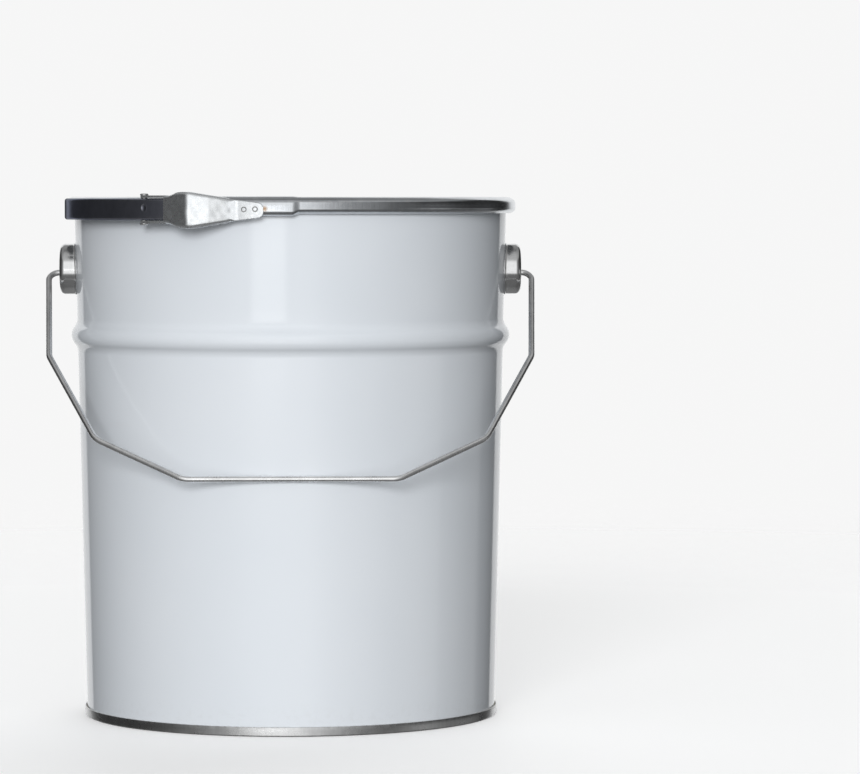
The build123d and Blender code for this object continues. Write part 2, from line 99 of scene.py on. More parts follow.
# ---------------------------------------------------------------- mesh helpers
def put(name, co, faces, sharp=35.0, wear=None, merge=1e-7):
    """A closed mesh from points in mm; wear is one value per point, and on the lever it also holds a painted highlight
    along the dimple's rim.
    """
    me = bpy.data.meshes.new(name)
    me.from_pydata([tuple(p) for p in np.asarray(co, float) * MM], [], faces)
    if wear is not None:
        me.attributes.new("wear", "FLOAT", "POINT").data.foreach_set("value", np.asarray(wear, np.float32))
    bm = bmesh.new()
    bm.from_mesh(me)
    bmesh.ops.remove_doubles(bm, verts=bm.verts, dist=merge)
    bmesh.ops.delete(bm, geom=[e for e in bm.edges if not e.link_faces], context="EDGES")
    bmesh.ops.delete(bm, geom=[v for v in bm.verts if not v.link_faces], context="VERTS")
    bmesh.ops.recalc_face_normals(bm, faces=bm.faces)
    bm.to_mesh(me)
    bm.free()
    me.shade_smooth()
    me.set_sharp_from_angle(angle=rad(sharp))
    ob = bpy.data.objects.new(name, me)
    bpy.context.scene.collection.objects.link(ob)
    return ob


def grid(P, loop_u, loop_v, base=0):
    """Quads of a grid of points [nu][nv]."""
    nu, nv = P.shape[:2]
    out = []
    for i in range(nu if loop_u else nu - 1):
        a = (i * nv) + base
        b = ((i + 1) % nu) * nv + base
        for j in range(nv if loop_v else nv - 1):
            k = (j + 1) % nv
            out.append((a + j, a + k, b + k, b + j))
    return out


def profile_wear(prof, gain=1.0):
    """Convex corners of a closed profile, 0 to 1, from how much it turns in 1.2 mm."""
    p = np.asarray(prof, float)
    n = len(p)
    seg = np.linalg.norm(np.roll(p, -1, 0) - p, axis=1)
    d = np.roll(p, -1, 0) - p
    ang = np.arctan2(d[:, 1], d[:, 0])
    turn = (ang - np.roll(ang, 1) + math.pi) % (2 * math.pi) - math.pi
    area = 0.5 * np.sum(p[:, 0] * np.roll(p[:, 1], -1) - np.roll(p[:, 0], -1) * p[:, 1])
    turn = turn * (1 if area > 0 else -1)
    s = np.concatenate([[0], np.cumsum(seg)[:-1]])
    total = s[-1] + seg[-1]
    out = np.zeros(n)
    for i in range(n):
        dist = np.abs(s - s[i])
        dist = np.minimum(dist, total - dist)
        out[i] = np.sum(turn * np.exp(-((dist / 0.9) ** 2)))
    return np.clip(out / 1.4 * gain, 0, 1)


def lathe(name, prof, seg=360, sharp=35.0, extra_angles=(), bump=None, wear=None):
    angs = sorted(set([round(i * 360.0 / seg, 5) for i in range(seg)] + [round(a % 360, 5) for a in extra_angles]))
    p = np.asarray(prof, float)
    P = np.zeros((len(angs), len(p), 3))
    for i, a in enumerate(angs):
        r = p[:, 0].copy()
        if bump is not None:
            r = r + bump(a, p)
        P[i, :, 0] = r * math.cos(rad(a))
        P[i, :, 1] = r * math.sin(rad(a))
        P[i, :, 2] = p[:, 1]
    w = profile_wear(prof) if wear is None else np.asarray(wear)
    return put(name, P.reshape(-1, 3), grid(P, True, True), sharp, np.tile(w, len(angs)), 1e-7)


def strip(name, sections, sharp=35.0, wear=None, extra=None):
    """A closed section carried along a path, with both ends capped."""
    P = np.asarray(sections, float)
    nu, nv = P.shape[:2]
    faces = grid(P, False, True)
    faces.append(tuple(range(nv)))
    faces.append(tuple((nu - 1) * nv + j for j in range(nv))[::-1])
    return put(name, P.reshape(-1, 3), faces, sharp, wear)


def prism(outer, holes, z0, z1):
    """Points and faces of a flat plate with holes, in mm."""
    rings = [outer] + list(holes)
    flat = [p for r in rings for p in r]
    n = len(flat)
    tris = tessellate_polygon([[Vector((x, y, 0)) for x, y in r] for r in rings])
    co = [(x, y, z0) for x, y in flat] + [(x, y, z1) for x, y in flat]
    faces = [tuple(t) for t in tris] + [tuple(i + n for i in t[::-1]) for t in tris]
    k = 0
    for r in rings:
        m = len(r)
        for i in range(m):
            a, b = k + i, k + (i + 1) % m
            faces.append((a, b, b + n, a + n))
        k += m
    return co, faces


def boolean(ob, other, op):
    m = ob.modifiers.new("b", "BOOLEAN")
    m.operation, m.solver, m.object = op, "EXACT", other
    bpy.context.view_layer.update()
    dg = bpy.context.evaluated_depsgraph_get()
    me = bpy.data.meshes.new_from_object(ob.evaluated_get(dg))
    ob.modifiers.clear()
    ob.data = me
    bpy.data.objects.remove(other)


def finish_mesh(ob, sharp=35.0):
    ob.data.shade_smooth()
    ob.data.set_sharp_from_angle(angle=rad(sharp))


def piece(ob, body, nodes, mat):
    if body:
        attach(ob, body)
    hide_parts(*nodes)
    ob.data.materials.clear()
    ob.data.materials.append(mat)
    return ob


# ---------------------------------------------------------------- materials
def shader(name):
    m = bpy.data.materials.new(name)
    m.use_nodes = True
    nt = m.node_tree
    b = nt.nodes["Principled BSDF"]
    return m, nt, b


class Net:
    """Short names for the nodes that the finishes are made of."""

    def __init__(self, nt):
        self.nt = nt
        self.obj = nt.nodes.new("ShaderNodeTexCoord").outputs["Object"]

    def link(self, a, b):
        self.nt.links.new(a, b)

    def scale(self, x, y, z):
        m = self.nt.nodes.new("ShaderNodeMapping")
        m.inputs["Scale"].default_value = (x, y, z)
        self.link(self.obj, m.inputs["Vector"])
        return m.outputs["Vector"]

    def noise(self, size, detail=3.0, rough=0.5, vec=None, distort=0.0):
        n = self.nt.nodes.new("ShaderNodeTexNoise")
        n.inputs["Scale"].default_value = size
        n.inputs["Detail"].default_value = detail
        n.inputs["Roughness"].default_value = rough
        n.inputs["Distortion"].default_value = distort
        self.link(vec or self.obj, n.inputs["Vector"])
        return n.outputs["Fac"]

    def voronoi(self, size, vec=None, feature="F1"):
        n = self.nt.nodes.new("ShaderNodeTexVoronoi")
        n.feature = feature
        n.inputs["Scale"].default_value = size
        self.link(vec or self.obj, n.inputs["Vector"])
        return n

    def ramp(self, fac, stops, interp="LINEAR"):
        n = self.nt.nodes.new("ShaderNodeValToRGB")
        n.color_ramp.interpolation = interp
        e = n.color_ramp.elements
        while len(e) < len(stops):
            e.new(0.5)
        for el, (p, c) in zip(e, stops):
            el.position = p
            el.color = (c, c, c, 1) if isinstance(c, (int, float)) else (*c, 1)
        self.link(fac, n.inputs["Fac"])
        return n.outputs["Color"]

    def math(self, op, a, b=None, c=None, clamp=False):
        n = self.nt.nodes.new("ShaderNodeMath")
        n.operation = op
        n.use_clamp = clamp
        for k, v in enumerate((a, b, c)):
            if v is None:
                continue
            if isinstance(v, (int, float)):
                n.inputs[k].default_value = v
            else:
                self.link(v, n.inputs[k])
        return n.outputs[0]

    def mix(self, fac, a, b, kind="MIX"):
        n = self.nt.nodes.new("ShaderNodeMix")
        n.data_type = "RGBA"
        n.blend_type = kind
        ins = (n.inputs[0], n.inputs[6], n.inputs[7])
        for s, v in zip(ins, (fac, a, b)):
            if isinstance(v, (int, float)):
                s.default_value = v
            elif isinstance(v, tuple):
                s.default_value = (*v, 1)
            else:
                self.link(v, s)
        return n.outputs[2]

    def attr(self, name):
        n = self.nt.nodes.new("ShaderNodeAttribute")
        n.attribute_name = name
        return n.outputs["Fac"]

    def bump(self, height, strength, distance, normal=None):
        n = self.nt.nodes.new("ShaderNodeBump")
        n.inputs["Strength"].default_value = strength
        n.inputs["Distance"].default_value = distance
        self.link(height, n.inputs["Height"])
        if normal is not None:
            self.link(normal, n.inputs["Normal"])
        return n.outputs["Normal"]

    def xyz(self):
        n = self.nt.nodes.new("ShaderNodeSeparateXYZ")
        self.link(self.obj, n.inputs[0])
        return n.outputs

    def near(self, centre, radius, soft):
        """1 inside a ball about centre (metres), falling to 0 over soft."""
        v = self.nt.nodes.new("ShaderNodeVectorMath")
        v.operation = "DISTANCE"
        self.link(self.obj, v.inputs[0])
        v.inputs[1].default_value = centre
        return self.math("SUBTRACT", 1.0, self.math("DIVIDE", self.math("SUBTRACT", v.outputs["Value"], radius), soft, clamp=True))


def scratches(n, vec, size, lo=0.56, hi=0.60):
    return n.ramp(n.noise(size, 2.0, 0.55, vec), [(lo, 0.0), (hi, 1.0)])


def lacquer():
    m, nt, b = shader("white_lacquer")
    n = Net(nt)
    broad = n.noise(9.0, 3.0, 0.5)
    col = n.mix(n.ramp(broad, [(0.3, 0.0), (0.7, 1.0)]), (0.722, 0.762, 0.808), (0.750, 0.785, 0.828))
    dust = n.ramp(n.noise(620.0, 2.0, 0.5), [(0.70, 0.0), (0.76, 1.0)])
    col = n.mix(n.math("MULTIPLY", dust, 0.12), col, (0.60, 0.61, 0.62))
    wear = n.math("MULTIPLY", n.attr("wear"), n.ramp(n.noise(240.0, 4.0, 0.65), [(0.50, 0.0), (0.62, 1.0)]))
    col = n.mix(n.math("MULTIPLY", wear, 0.55), col, (0.50, 0.50, 0.50))
    scuff = n.math("MULTIPLY", scratches(n, n.scale(30, 30, 260), 1.0, 0.62, 0.66), n.ramp(n.noise(14.0), [(0.5, 0.0), (0.62, 1.0)]))
    col = n.mix(n.math("MULTIPLY", scuff, 0.05), col, (0.70, 0.71, 0.73))
    n.link(col, b.inputs["Base Color"])
    rough = n.ramp(n.noise(22.0, 4.0, 0.6), [(0.3, 0.045), (0.7, 0.085)])
    rough = n.math("ADD", rough, n.math("MULTIPLY", scuff, 0.03))
    n.link(rough, b.inputs["Roughness"])
    b.inputs["IOR"].default_value = 1.5
    peel = n.noise(420.0, 2.0, 0.5)
    n1 = n.bump(peel, 0.05, 0.0002)
    wave = n.noise(26.0, 2.0, 0.5)
    n2 = n.bump(wave, 0.05, 0.0012, n1)
    n.link(n2, b.inputs["Normal"])
    return m


def steel(name, tone, rough, streak=(900, 900, 6), lines=(4, 4, 900), streak_gain=0.25, tint=(1, 1, 1), metal=1.0, wear_light=0.2,
          grain=0.06, aniso=0.0, blotch=0.12, stains_and_shade=None, edge=(1, 1, 1)):
    m, nt, b = shader(name)
    n = Net(nt)
    base = n.noise(38.0, 4.0, 0.6)
    c0 = tuple(tone * (1 - blotch) * t for t in tint)
    c1 = tuple(min(1, tone * (1 + blotch)) * t for t in tint)
    col = n.mix(n.ramp(base, [(0.3, 0.0), (0.7, 1.0)]), c0, c1)
    st = n.noise(1.0, 2.0, 0.5, n.scale(*streak))
    ln = n.noise(1.0, 3.0, 0.6, n.scale(*lines))
    col = n.mix(n.math("MULTIPLY", n.ramp(st, [(0.45, 0.0), (0.65, 1.0)]), streak_gain), col, tuple(tone * 0.62 * t for t in tint))
    spots = n.ramp(n.voronoi(260.0).outputs["Distance"], [(0.05, 1.0), (0.12, 0.0)])
    spots = n.math("MULTIPLY", spots, n.ramp(n.noise(33.0), [(0.52, 0.0), (0.64, 1.0)]))
    col = n.mix(n.math("MULTIPLY", spots, 0.35), col, tuple(tone * 0.5 * t for t in tint))
    # the wear attribute lightens worn corners; along the lever dimple's rim that lighter colour is a painted highlight
    wear = n.math("MULTIPLY", n.attr("wear"), n.ramp(n.noise(190.0, 4.0, 0.6), [(0.40, 0.0), (0.60, 1.0)]))
    col = n.mix(n.math("MULTIPLY", wear, 0.6), col, tuple(min(1.0, tone + wear_light) for _ in range(3)))
    # each entry mixes a colour into a small ball of the surface: on the ring a real brown stain, on the lever's tail a
    # dark patch of painted shade
    if stains_and_shade:
        for centre, radius, soft, colour, amount in stains_and_shade:
            col = n.mix(n.math("MULTIPLY", n.near(centre, radius, soft), amount), col, colour)
    n.link(col, b.inputs["Base Color"])
    b.inputs["Metallic"].default_value = metal
    b.inputs["Specular Tint"].default_value = (*edge, 1)
    r = n.ramp(n.noise(55.0, 4.0, 0.6), [(0.25, rough * 0.8), (0.75, rough * 1.25)])
    r = n.math("ADD", r, n.math("MULTIPLY", ln, 0.07))
    r = n.math("ADD", r, n.math("MULTIPLY", wear, 0.08))
    n.link(r, b.inputs["Roughness"])
    if aniso:
        b.inputs["Anisotropic"].default_value = aniso
    h1 = n.bump(ln, grain, 0.00006)
    h2 = n.bump(n.noise(1500.0, 2.0, 0.5), grain, 0.00005, h1)
    h3 = n.bump(n.noise(60.0, 2.0, 0.5), 0.10, 0.0004, h2)
    n.link(h3, b.inputs["Normal"])
    return m


def galvanised(name, tone=0.72):
    m, nt, b = shader(name)
    n = Net(nt)
    v = n.voronoi(420.0)
    cell = n.ramp(v.outputs["Color"], [(0.0, 0.0), (1.0, 1.0)])
    mott = n.noise(520.0, 3.0, 0.7)
    broad = n.noise(60.0, 3.0, 0.5)
    col = n.mix(n.ramp(mott, [(0.35, 0.0), (0.65, 1.0)]), tuple(tone * k for k in (0.95, 0.965, 0.98)), tuple(tone * k for k in (1.04, 1.06, 1.07)))
    col = n.mix(n.math("MULTIPLY", cell, 0.16), col, tuple(tone * k for k in (0.80, 0.83, 0.87)))
    col = n.mix(n.math("MULTIPLY", n.ramp(broad, [(0.45, 0.0), (0.7, 1.0)]), 0.25), col, tuple(tone * k for k in (0.86, 0.90, 0.95)))
    wear = n.math("MULTIPLY", n.attr("wear"), n.ramp(n.noise(260.0, 4.0, 0.6), [(0.38, 0.0), (0.60, 1.0)]))
    col = n.mix(n.math("MULTIPLY", wear, 0.22), col, (0.50, 0.52, 0.54))
    n.link(col, b.inputs["Base Color"])
    b.inputs["Metallic"].default_value = 0.97
    r = n.ramp(mott, [(0.3, 0.20), (0.7, 0.32)])
    r = n.math("ADD", r, n.math("MULTIPLY", cell, 0.06))
    n.link(r, b.inputs["Roughness"])
    h1 = n.bump(mott, 0.16, 0.00010)
    h2 = n.bump(v.outputs["Distance"], 0.10, 0.0001, h1)
    h3 = n.bump(n.noise(110.0, 2.0, 0.5), 0.12, 0.0003, h2)
    n.link(h3, b.inputs["Normal"])
    return m


def matte(name, c0, c1, rough=0.65, size=180.0, bump_size=500.0):
    m, nt, b = shader(name)
    n = Net(nt)
    col = n.mix(n.ramp(n.noise(size, 4.0, 0.6), [(0.35, 0.0), (0.65, 1.0)]), c0, c1)
    wear = n.math("MULTIPLY", n.attr("wear"), n.ramp(n.noise(300.0), [(0.45, 0.0), (0.6, 1.0)]))
    col = n.mix(n.math("MULTIPLY", wear, 0.4), col, tuple(min(1, k * 1.7 + 0.03) for k in c1))
    n.link(col, b.inputs["Base Color"])
    n.link(n.ramp(n.noise(90.0), [(0.3, rough - 0.1), (0.7, rough + 0.1)]), b.inputs["Roughness"])
    n.link(n.bump(n.noise(bump_size, 3.0, 0.6), 0.35, 0.0002), b.inputs["Normal"])
    return m


def weld_metal(name, centres):
    """Spot welds: dull grey-brown puddle metal, browner in the middle."""
    m, nt, b = shader(name)
    n = Net(nt)
    col = n.mix(n.ramp(n.noise(700.0, 3.0, 0.6), [(0.35, 0.0), (0.65, 1.0)]), (0.15, 0.15, 0.15), (0.27, 0.26, 0.25))
    for c in centres:
        col = n.mix(n.math("MULTIPLY", n.near(c, 0.0006, 0.0007), 0.90), col, (0.52, 0.40, 0.24))
    wear = n.math("MULTIPLY", n.attr("wear"), 0.5)
    col = n.mix(wear, col, (0.62, 0.62, 0.62))
    n.link(col, b.inputs["Base Color"])
    b.inputs["Metallic"].default_value = 0.9
    n.link(n.ramp(n.noise(500.0), [(0.3, 0.30), (0.7, 0.50)]), b.inputs["Roughness"])
    n.link(n.bump(n.noise(900.0, 3.0, 0.6), 0.5, 0.0001), b.inputs["Normal"])
    return m


M_LACQUER = lacquer()
M_RING = steel("ring_steel", 0.61, 0.15, streak=(1500, 1500, 10), lines=(6, 6, 1400), streak_gain=0.18, tint=(0.97, 1.0, 1.04),
               stains_and_shade=[((-0.0165, -0.1506, 0.3374), 0.0007, 0.0018, (0.30, 0.17, 0.07), 0.85)])
# the dark patch on the lever's tail is painted shade: it darkens the tail's reflection of the white behind
M_LEVER = steel("lever_steel", 0.43, 0.16, streak=(240, 240, 200), lines=(8, 8, 900), streak_gain=0.18, tint=(0.93, 0.96, 1.14), blotch=0.10,
                stains_and_shade=[((-0.1487, -0.0330, 0.3370), 0.0070, 0.0060, (0.085, 0.087, 0.092), 0.92)], edge=(0.30, 0.31, 0.34))
M_BRACKET = galvanised("bracket_galvanised", 0.84)
M_EAR = steel("ear_tinplate", 0.66, 0.12, streak=(300, 300, 300), lines=(700, 60, 60), streak_gain=0.10, blotch=0.06)
M_LID = steel("lid_tinplate", 0.64, 0.16, streak=(700, 8, 20), lines=(900, 12, 12), streak_gain=0.16, blotch=0.08)
M_BASE = steel("base_tinplate", 0.60, 0.24, streak=(500, 500, 12), lines=(8, 8, 900), streak_gain=0.18, blotch=0.12)
M_WIRE = steel("zinc_wire", 0.88, 0.24, streak=(260, 260, 260), lines=(500, 500, 500), streak_gain=0.22, blotch=0.12, grain=0.12)
M_LATCH = steel("latch_steel", 0.46, 0.24, streak=(400, 400, 60), lines=(30, 30, 900), streak_gain=0.18)
M_RIVET = steel("rivet_zinc", 0.58, 0.26, streak=(500, 500, 500), lines=(900, 900, 900), streak_gain=0.15, grain=0.12)
M_GASKET = matte("gasket_rubber", (0.015, 0.015, 0.016), (0.03, 0.03, 0.031), 0.7)
M_SEAM = matte("seam_compound", (0.50, 0.47, 0.38), (0.62, 0.58, 0.48), 0.6)

# ---------------------------------------------------------------- pail body
R_FOOT, Z_FOOT, Z_CURL, R_NECK = 136.15, 1.6, 337.6, 143.85


BL, BC, BT = (141.66, 241.9), (146.0, 253.2), (142.05, 264.7)     # bead: lower end, crest, upper end


def bead(off):
    h1, h2, w1, w2 = BC[0] - BL[0], BC[0] - BT[0], BC[1] - BL[1], BT[1] - BC[1]
    t1, t2 = 2 * math.atan(h1 / w1), 2 * math.atan(h2 / w2)
    r1, r2 = w1 / (2 * math.sin(t1)), w2 / (2 * math.sin(t2))
    d1, d2 = math.degrees(t1), math.degrees(t2)
    out = arc((BL[0] + r1, BL[1]), r1 + off, 180, 180 - d1, 3.0)
    out += arc((BC[0] - r1, BC[1]), r1 - off, -d1, 0, 3.0)[1:]
    out += arc((BC[0] - r2, BC[1]), r2 - off, 0, d2, 3.0)[1:]
    out += arc((BT[0] + r2, BT[1]), r2 + off, 180 + d2, 180, 3.0)[1:]
    return out


cc = (R_NECK - SHEET + 2.2, Z_CURL)
outer = line((R_FOOT, Z_FOOT), bead(0)[0], 26)[:-1] + bead(0) + line(BT, (R_NECK, Z_CURL), 10)[1:-1]
curl = arc(cc, 1.6, 180, -115, 9.0)
lip = arc(cc, 2.2, -115, 180, 9.0)
inner = [(r - 0.0, z) for r, z in (line((BT[0] - SHEET, BT[1]), (R_NECK - SHEET, Z_CURL), 10)[1:-1])][::-1] + bead(SHEET)[::-1] \
    + line((R_FOOT - SHEET, Z_FOOT), bead(SHEET)[0], 26)[:-1][::-1]
prof = outer + curl + lip + inner
n_wall = len(outer)


def side_seam(a, p):
    d = (a - 90.0 + 180) % 360 - 180
    bump = 0.16 * math.exp(-((d / 0.62) ** 4)) - 0.05 * math.exp(-(((abs(d) - 1.0) / 0.3) ** 2))
    fade = np.clip((336.0 - p[:, 1]) / 4.0, 0, 1) * np.clip((p[:, 1] - 6.5) / 2.0, 0, 1)
    k = np.zeros(len(p))
    k[:n_wall] = bump
    return k * fade


w_body = profile_wear(prof) * 0.8
for i, (r, z) in enumerate(prof):
    if i < n_wall:
        w_body[i] = max(0.06 * math.exp(-abs(z - BC[1]) / 1.6), 0.5 * math.exp(-abs(z - 7.5) / 3.0), w_body[i] * 0.1)
body = lathe("PailBody", prof, 360, 40.0, [90 + d for d in (-1.6, -1.3, -1.0, -0.8, -0.6, -0.4, -0.2, 0.2, 0.4, 0.6, 0.8, 1.0, 1.3, 1.6)],
             side_seam, w_body)
piece(body, "pail", ["body_shell"], M_LACQUER)

# ---------------------------------------------------------------- base
F = 7.0
prof = [(0, F - 0.6)] + line((60, F - 0.6), (96, F - 0.6), 3) + arc((96.0, F - 1.6 - 0.6 + 0.0), 1.0, 90, 40, 15)[1:] \
    + arc((100.6, F - 2.2 + 1.4), 1.4, 230, 270, 15) + arc((105.4, F - 2.2 + 1.4), 1.4, 270, 310, 15) \
    + arc((110.0, F - 2.2), 1.0, 140, 90, 15)[:-1] + [(110, F - 0.6)] \
    + line((114, F - 0.6), (133.3, F - 0.6), 3) + arc((133.3, F - 2.1), 1.5, 90, 0, 15)[1:] \
    + [(134.8, 0.9)] + arc((135.7, 0.9), 0.9, 180, 270, 15) + arc((136.65, 0.9), 0.9, 270, 360, 10) \
    + [(137.55, 3.5), (137.55, 5.9)] + arc((137.25, 5.9), 0.3, 0, 180, 30) \
    + [(136.95, 0.7), (136.85, 0.6), (135.5, 0.6), (135.4, 0.7), (135.4, F - 2.1)] \
    + arc((133.3, F - 2.1), 2.1, 0, 90, 15)[1:] + [(114, F)] \
    + [(110, F)] + arc((110.0, F - 1.6), 1.6, 90, 130, 20)[1:] + arc((105.4, F - 1.6 + 0.8), 0.8, 310, 270, 20) \
    + arc((100.6, F - 0.8), 0.8, 270, 230, 20) + arc((96.0, F - 1.6), 1.6, 50, 90, 20) + [(60, F), (0, F)]
base = lathe("BottomEnd", prof, 300, 35.0)
piece(base, "pail", ["bottom_end"], M_BASE)
prof = [(135.5, 0.65), (136.9, 0.65), (136.9, 5.3), (136.75, 5.6), (136.4, 5.6), (136.25, 5.2), (136.25, 1.5), (135.6, 1.5), (135.5, 1.4)]
comp = lathe("BottomSeamCompound", prof, 240, 35.0)
piece(comp, "pail", ["bottom_seam_compound"], M_SEAM)

# ---------------------------------------------------------------- lid and gasket
lf = 329.0
k1, k2, R1, R2 = (146.6, 340.0), (143.58, 336.4), 2.2, 6.9
zc = k2[1] + R2 - 1.9


def panel(z):
    out = [(0, z), (30, z), (60, z), (92, z)] + arc((97.0, z + 1.2), 1.2, 270, 306, 12)
    out += arc((103.2, z + 2.0 - 1.2), 1.2, 126, 90, 12) + [(107, z + 2.05)] + arc((110.8, z + 2.0 - 1.2), 1.2, 90, 54, 12)
    out += arc((117.0, z + 1.2), 1.2, 234, 270, 12) + [(122, z), (132, z)]
    return out


def rim(off):
    return arc((143.65, zc), 1.9 - off, 180, 90, 9)[:-1] + arc(k2, R2 - off, 90, 50, 5) + arc(k1, R1 - off, 50, 0, 7)[1:]


outer_p = panel(lf) + arc((139.5, lf + 1.3), 1.3, -90, 0, 12) + [(141.2, 335.0)] + rim(0) \
    + [(148.8, 339.0), (148.8, 338.3)] + arc((148.5, 338.25), 0.3, 0, -180, 45)[1:]
inner_p = [(148.2, 339.2)] + rim(SHEET)[::-1] + [(141.8, 335.0)] + arc((139.5, lf + 1.3), 1.9, 0, -90, 12) + panel(lf - SHEET)[::-1]
lid = lathe("Lid", outer_p + inner_p, 360, 35.0)
piece(lid, "lid", ["lid_panel"], M_LID)
g = R2 - SHEET - 0.04
prof = [(143.9, 341.2)] + arc((144.7, 341.2), 0.8, 180, 270, 18)[1:] + [(146.2, 340.4)] + arc((146.6, 341.0), 0.6, -90, 0, 18) \
    + [on(k2, g, a) for a in (53, 62, 70, 78, 87)]
gasket = lathe("LidGasket", prof, 300, 35.0)
piece(gasket, "lid", ["lid_gasket"], M_GASKET)

# ---------------------------------------------------------------- locking ring
T = 0.8
EXPAND, DRAWN, DRAWN_R = 0.95, 0.55, 0.1
TC1, TR1, TC2, TR2 = (146.6, 340.5), 3.4, (143.58, 336.9), 8.1
LC1, LR1, LC2, LR2 = (147.2, 337.5), 2.8, (145.644, 339.056), 5.0
LBC, LBR = (147.65, 336.05), 3.3


def band(dr, dz, wide=False):
    """One closed section of the band, always with the same number of points."""

    def path(off):
        c1, c2 = (TC1[0], TC1[1] + dz), (TC2[0], TC2[1] + dz)
        p = arc_n(c2, TR2 + dr - off, 90, 50, 7)[:-1] + arc_n(c1, TR1 + dr - off, 50, 0, 9)
        if wide:
            lo = arc_n(LBC, LBR - off, 0, -90, 10)
            lo += line(lo[-1], (145.4, LBC[1] - LBR + off), 6)[1:]
        else:
            lo = arc_n(LC1, LR1 + dr - off, 0, -45, 10) + arc_n(LC2, LR2 + dr - off, -45, -80, 6)[1:]
        mid = line(p[-1], lo[0], 5)[1:-1]
        return p + mid + lo

    o, i = path(0.0), path(T)
    return np.array(o + i[::-1])


N, A_END, B_END = band(-0.02, 0), band(-DRAWN_R, -DRAWN), band(EXPAND, -DRAWN, True)
W_BAND = profile_wear(N)


def sections(angles, fn):
    out = []
    for a in angles:
        s = fn(a)
        out.append(np.stack([s[:, 0] * math.cos(rad(a)), s[:, 0] * math.sin(rad(a)), s[:, 1]], 1))
    return out


def back_fn(a):
    return N + (A_END - N) * smooth((a - 248.2) / 0.7)


angs = list(np.linspace(90.0, 247.5, 212)) + list(np.linspace(247.7, 249.2, 14)) + list(np.linspace(249.6, 270.5, 30))
secs = sections(angs, back_fn)
ring_back = strip("RingBandBack", secs, 35.0, np.tile(W_BAND, len(secs)))
piece(ring_back, "ring", ["ring_band_main"], M_RING)


def front_fn(a):
    t = smooth((a - 270.3) / 2.1)
    s = B_END + (N - B_END) * t
    return s


angs = list(np.linspace(249.5, 270.1, 34)) + list(np.linspace(270.25, 272.45, 34)) + list(np.linspace(272.7, 449.98, 236))
secs = sections(angs, front_fn)
wf = np.tile(W_BAND, len(secs)).reshape(len(secs), -1)
for i, a in enumerate(angs):
    wf[i] = np.maximum(wf[i], 0.5 * math.exp(-abs(a - 271.2) / 0.25))
ring_front = strip("RingBandFront", secs, 35.0, wf.ravel())
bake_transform(ring_front)
piece(ring_front, None, ["ring_band_free"], M_RING)

# ---------------------------------------------------------------- ear cups
EZ, BZ = 297.0, 294.5


def cone_r(z):
    return BT[0] + (R_NECK - BT[0]) / (Z_CURL - BT[1]) * (z - BT[1])


def ear(side):
    loops = []

    def loop(fn):
        pts = []
        for k in range(96):
            f = 2 * math.pi * k / 96
            pts.append(fn(math.sin(f), math.cos(f)))
        loops.append(pts)

    def flat(t, x):
        # from the wire's hole (t = 0) to the cup's face circle (t = 1)
        def fn(s, c):
            y = (2.1 * (1 - t) + 13.2 * t) * s
            z = (BZ * (1 - t) + EZ * t) + (2.1 * (1 - t) + 13.2 * t) * c
            return (x, y, z)
        loop(fn)

    def at(rho, x):
        loop(lambda s, c: (x, rho * s, EZ + rho * c))

    def skin(rho, off):
        def fn(s, c):
            y, z = rho * s, EZ + rho * c
            return (math.sqrt((cone_r(z) + off) ** 2 - y * y), y, z)
        loop(fn)

    flat(0.0, 153.05)
    flat(0.03, 153.4)
    flat(0.07, 153.5)
    for t in (0.3, 0.65, 1.0):
        flat(t, 153.5)
    for r, x in arc((13.2, 149.9), 3.6, 90, 0, 7)[1:]:
        at(r, x)
    for f in (0.25, 0.5, 0.75):
        def fn(s, c, f=f):
            y, z = 16.8 * s, EZ + 16.8 * c
            x1 = math.sqrt((cone_r(z) + 1.7) ** 2 - y * y)
            return (149.9 + (x1 - 149.9) * f, y, z)
        loop(fn)
    for rho, off in ((16.8, 1.7), (16.82, 1.4), (16.88, 1.15), (17.0, 0.98), (17.12, 0.92), (17.22, 0.82), (17.28, 0.6), (17.28, 0.2), (17.18, 0.03), (16.6, 0.03), (15.8, 0.03)):
        skin(rho, off)
    for f in (0.4, 0.8):
        def fn(s, c, f=f):
            y, z = 15.8 * s, EZ + 15.8 * c
            x1 = math.sqrt((cone_r(z) + 0.03) ** 2 - y * y)
            return (x1 + (149.9 - x1) * f, y, z)
        loop(fn)
    for r, x in arc((13.2, 149.9), 2.6, 0, 90, 12):
        at(r, x)
    flat(0.5, 152.5)
    flat(0.0, 152.5)
    P = np.array(loops)
    P[:, :, 0] *= side
    w = np.zeros(P.shape[:2])
    w[0:3] = 0.7
    w[6:12] = 0.35
    w[22:26] = 0.6
    return put("EarCupRight" if side > 0 else "EarCupLeft", P.reshape(-1, 3), grid(P, True, True), 35.0, w.ravel())


piece(ear(1), "pail", ["ear_right"], M_EAR)
piece(ear(-1), "pail", ["ear_left"], M_EAR)

